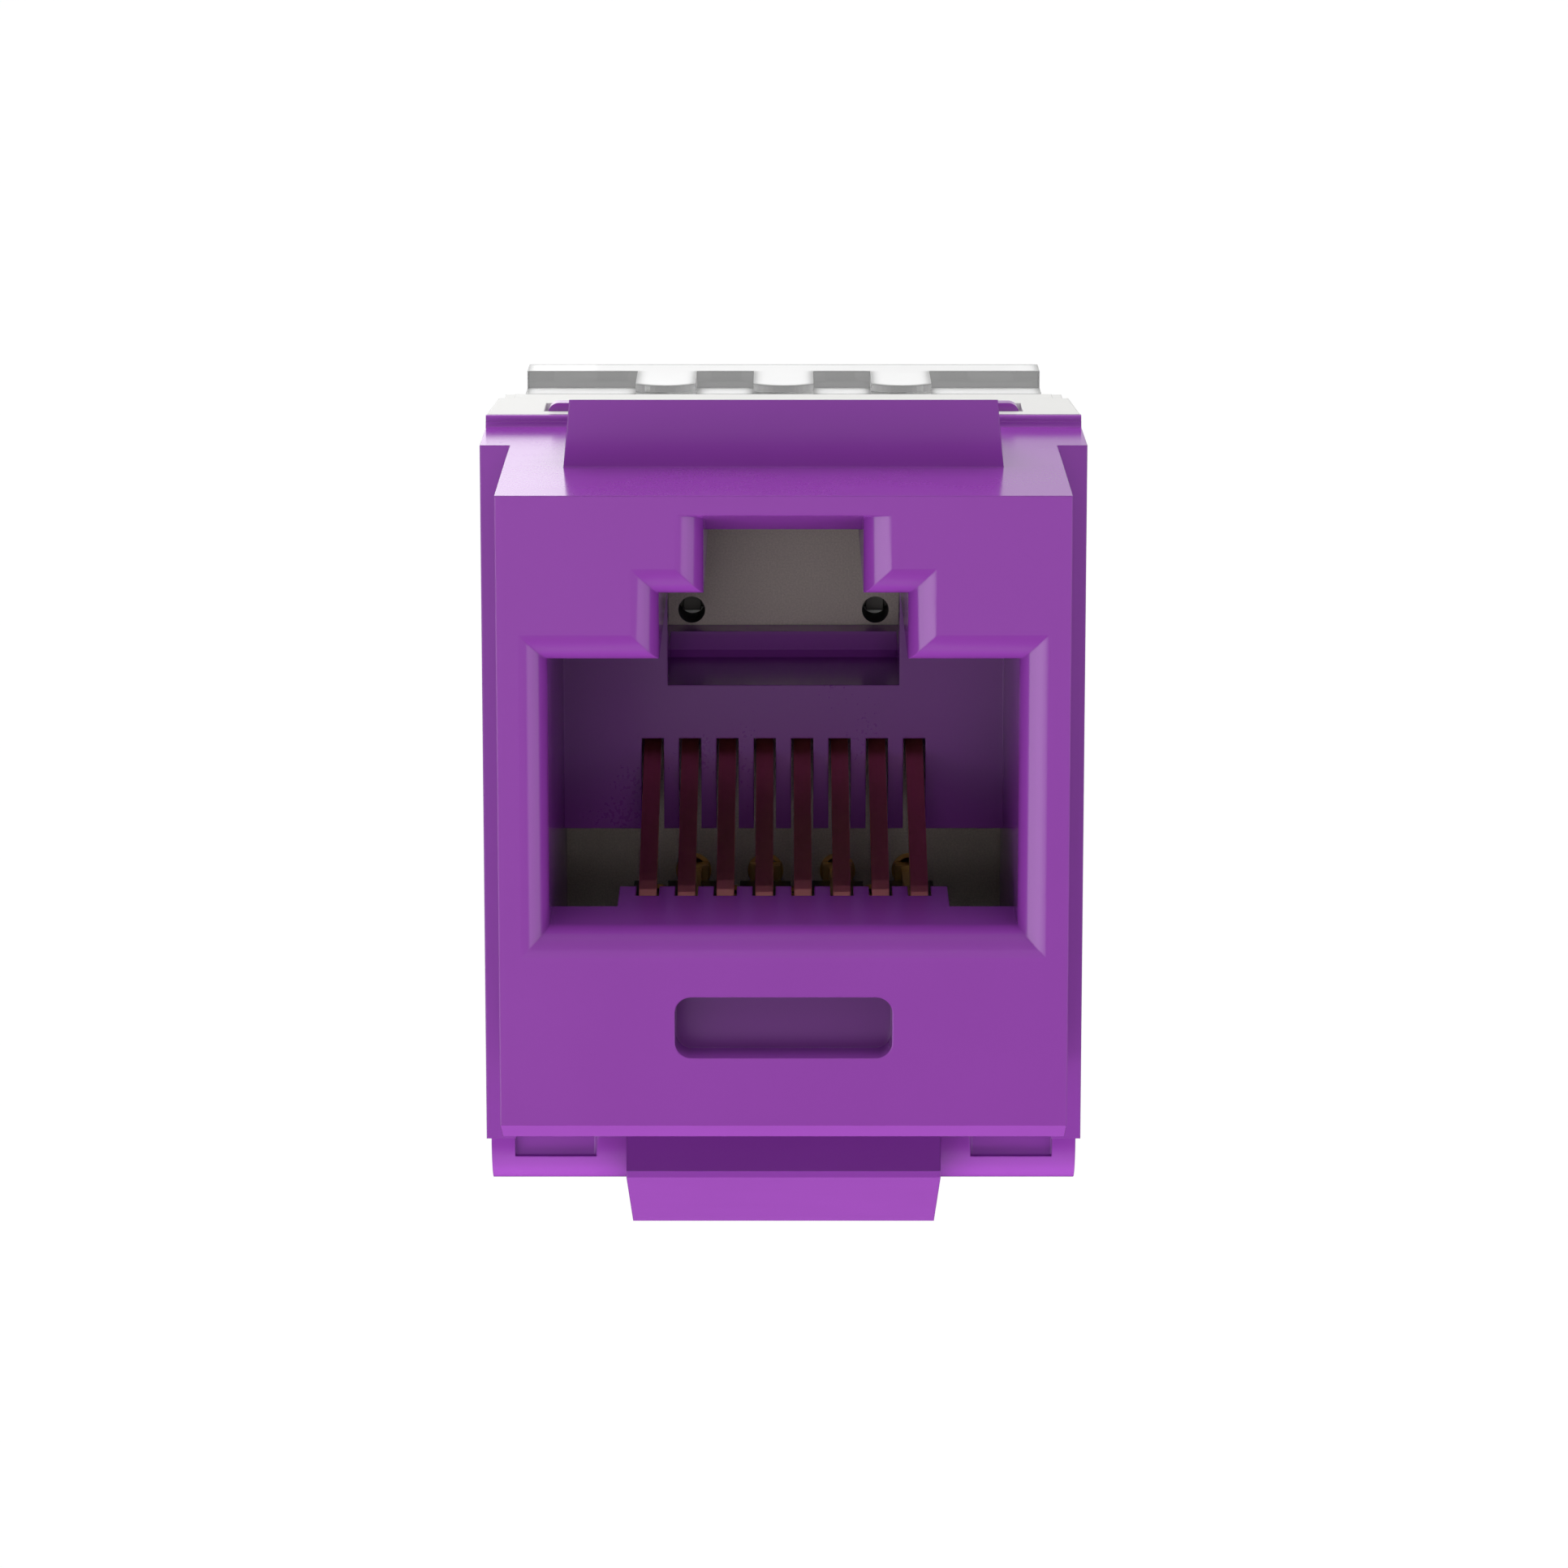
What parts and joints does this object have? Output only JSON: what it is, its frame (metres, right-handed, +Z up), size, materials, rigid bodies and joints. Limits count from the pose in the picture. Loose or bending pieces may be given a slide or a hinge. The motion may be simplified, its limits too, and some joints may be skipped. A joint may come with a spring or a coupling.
{
  "type": "keystone jack",
  "caption": "Snap-in modular jack with a stepped plug port and spring contacts, a circuit board, a rear terminal block for twisted-pair wires and a clear wire cap.",
  "frame": {"origin": "centre of the front face of the nose", "axes": "+X to the right seen from the front, +Y from the front face to the rear, +Z up, with the fixed catch on top and the flexible latch below"},
  "size_m": [0.0162, 0.0272, 0.0244],
  "materials": {
    "purple_plastic": "satin moulded",
    "white_plastic": "satin moulded",
    "clear_plastic": "clear moulded",
    "black_plastic": "matt moulded",
    "board_laminate": "matt laminate",
    "gold_contact": "gold plated",
    "tinned_bronze": "tin plated"
  },
  "bodies": {
    "root": {"housing": "purple_plastic", "contact_1": "gold_contact", "contact_2": "gold_contact", "contact_3": "gold_contact", "contact_4": "gold_contact", "contact_5": "gold_contact", "contact_6": "gold_contact", "contact_7": "gold_contact", "contact_8": "gold_contact", "contact_sled": "black_plastic", "circuit_board": "board_laminate", "contact_pads": "gold_contact", "terminal_block": "white_plastic", "terminal_1": "tinned_bronze", "terminal_2": "tinned_bronze", "terminal_3": "tinned_bronze", "terminal_4": "tinned_bronze", "terminal_5": "tinned_bronze", "terminal_6": "tinned_bronze", "terminal_7": "tinned_bronze", "terminal_8": "tinned_bronze", "wire_cap": "clear_plastic"}
  },
  "joints": []
}
